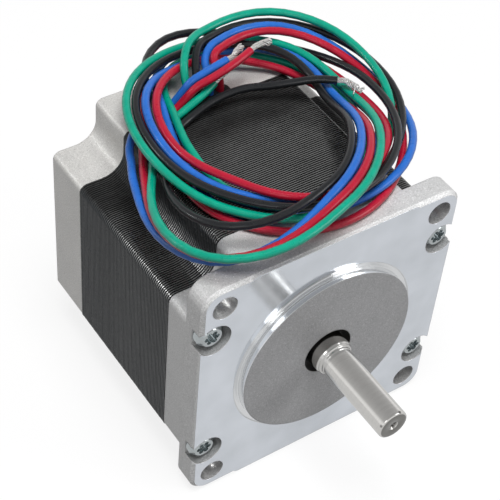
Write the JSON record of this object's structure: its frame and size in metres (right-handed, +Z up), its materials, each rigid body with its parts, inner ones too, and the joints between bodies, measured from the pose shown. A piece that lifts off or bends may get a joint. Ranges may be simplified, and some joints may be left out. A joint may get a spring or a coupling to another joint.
{
  "type": "stepper motor",
  "caption": "Square-flanged hybrid stepper motor with turned pilot, plain shaft and coiled flying leads.",
  "frame": {"origin": "centre of the flange's mounting face, on the shaft's axis", "axes": "-Y along the shaft, out of the motor; +Z up, to the side that the leads leave from; X across"},
  "size_m": [0.0615, 0.0831, 0.0654],
  "materials": {
    "cast_aluminium": "blasted casting, with turned faces at the front",
    "black_steel": "satin black laminations",
    "copper_wire": "enamelled copper wire",
    "white_nylon": "moulded nylon",
    "board_green": "laminated board",
    "black_rubber": "moulded rubber",
    "ground_steel": "ground steel",
    "lamination_steel": "punched steel",
    "magnet_black": "sintered magnet",
    "bearing_steel": "polished bearing steel",
    "cage_brass": "pressed brass",
    "shield_steel": "pressed steel",
    "spring_steel": "spring steel",
    "zinc_plate": "bright zinc plate",
    "tinned_copper": "tinned copper strands",
    "green_insulation": "glossy insulation",
    "black_insulation": "glossy insulation",
    "blue_insulation": "glossy insulation",
    "red_insulation": "glossy insulation"
  },
  "bodies": {
    "stator": {"front_end_bell": "cast_aluminium", "rear_end_bell": "cast_aluminium", "stator_stack": "black_steel", "phase_a_coils": "copper_wire", "phase_b_coils": "copper_wire", "front_insulator": "white_nylon", "rear_insulator": "white_nylon", "lead_board": "board_green", "lead_grommet": "black_rubber", "front_bearing_outer_ring": "bearing_steel", "front_bearing_shields": "shield_steel", "rear_bearing_outer_ring": "bearing_steel", "rear_bearing_shields": "shield_steel", "wave_washer": "spring_steel", "assembly_screws": "zinc_plate", "green_lead_exit": "green_insulation", "green_lead_coil": "green_insulation", "green_lead_tail": "green_insulation", "green_lead_strands": "tinned_copper", "black_lead_exit": "black_insulation", "black_lead_coil": "black_insulation", "black_lead_tail": "black_insulation", "black_lead_strands": "tinned_copper", "blue_lead_exit": "blue_insulation", "blue_lead_coil": "blue_insulation", "blue_lead_tail": "blue_insulation", "blue_lead_strands": "tinned_copper", "red_lead_exit": "red_insulation", "red_lead_coil": "red_insulation", "red_lead_tail": "red_insulation", "red_lead_strands": "tinned_copper"},
    "rotor": {"rotor_shaft": "ground_steel", "front_rotor_cup": "lamination_steel", "rear_rotor_cup": "lamination_steel", "rotor_magnet": "magnet_black", "front_bearing_inner_ring": "bearing_steel", "rear_bearing_inner_ring": "bearing_steel"},
    "front_cage": {"front_bearing_balls": "bearing_steel", "front_bearing_cage": "cage_brass"},
    "rear_cage": {"rear_bearing_balls": "bearing_steel", "rear_bearing_cage": "cage_brass"}
  },
  "joints": [
    {"name": "rotor_spin", "type": "hinge", "parent": "stator", "child": "rotor", "pos_m": [0, 0, 0], "axis": [0, -1, 0], "continuous": true},
    {"name": "front_cage_spin", "type": "hinge", "parent": "stator", "child": "front_cage", "pos_m": [0, 0, 0], "axis": [0, -1, 0], "continuous": true},
    {"name": "rear_cage_spin", "type": "hinge", "parent": "stator", "child": "rear_cage", "pos_m": [0, 0, 0], "axis": [0, -1, 0], "continuous": true}
  ],
  "couplings": [
    {"joint": "front_cage_spin", "follows": "rotor_spin", "ratio": 0.37},
    {"joint": "rear_cage_spin", "follows": "rotor_spin", "ratio": 0.37}
  ]
}
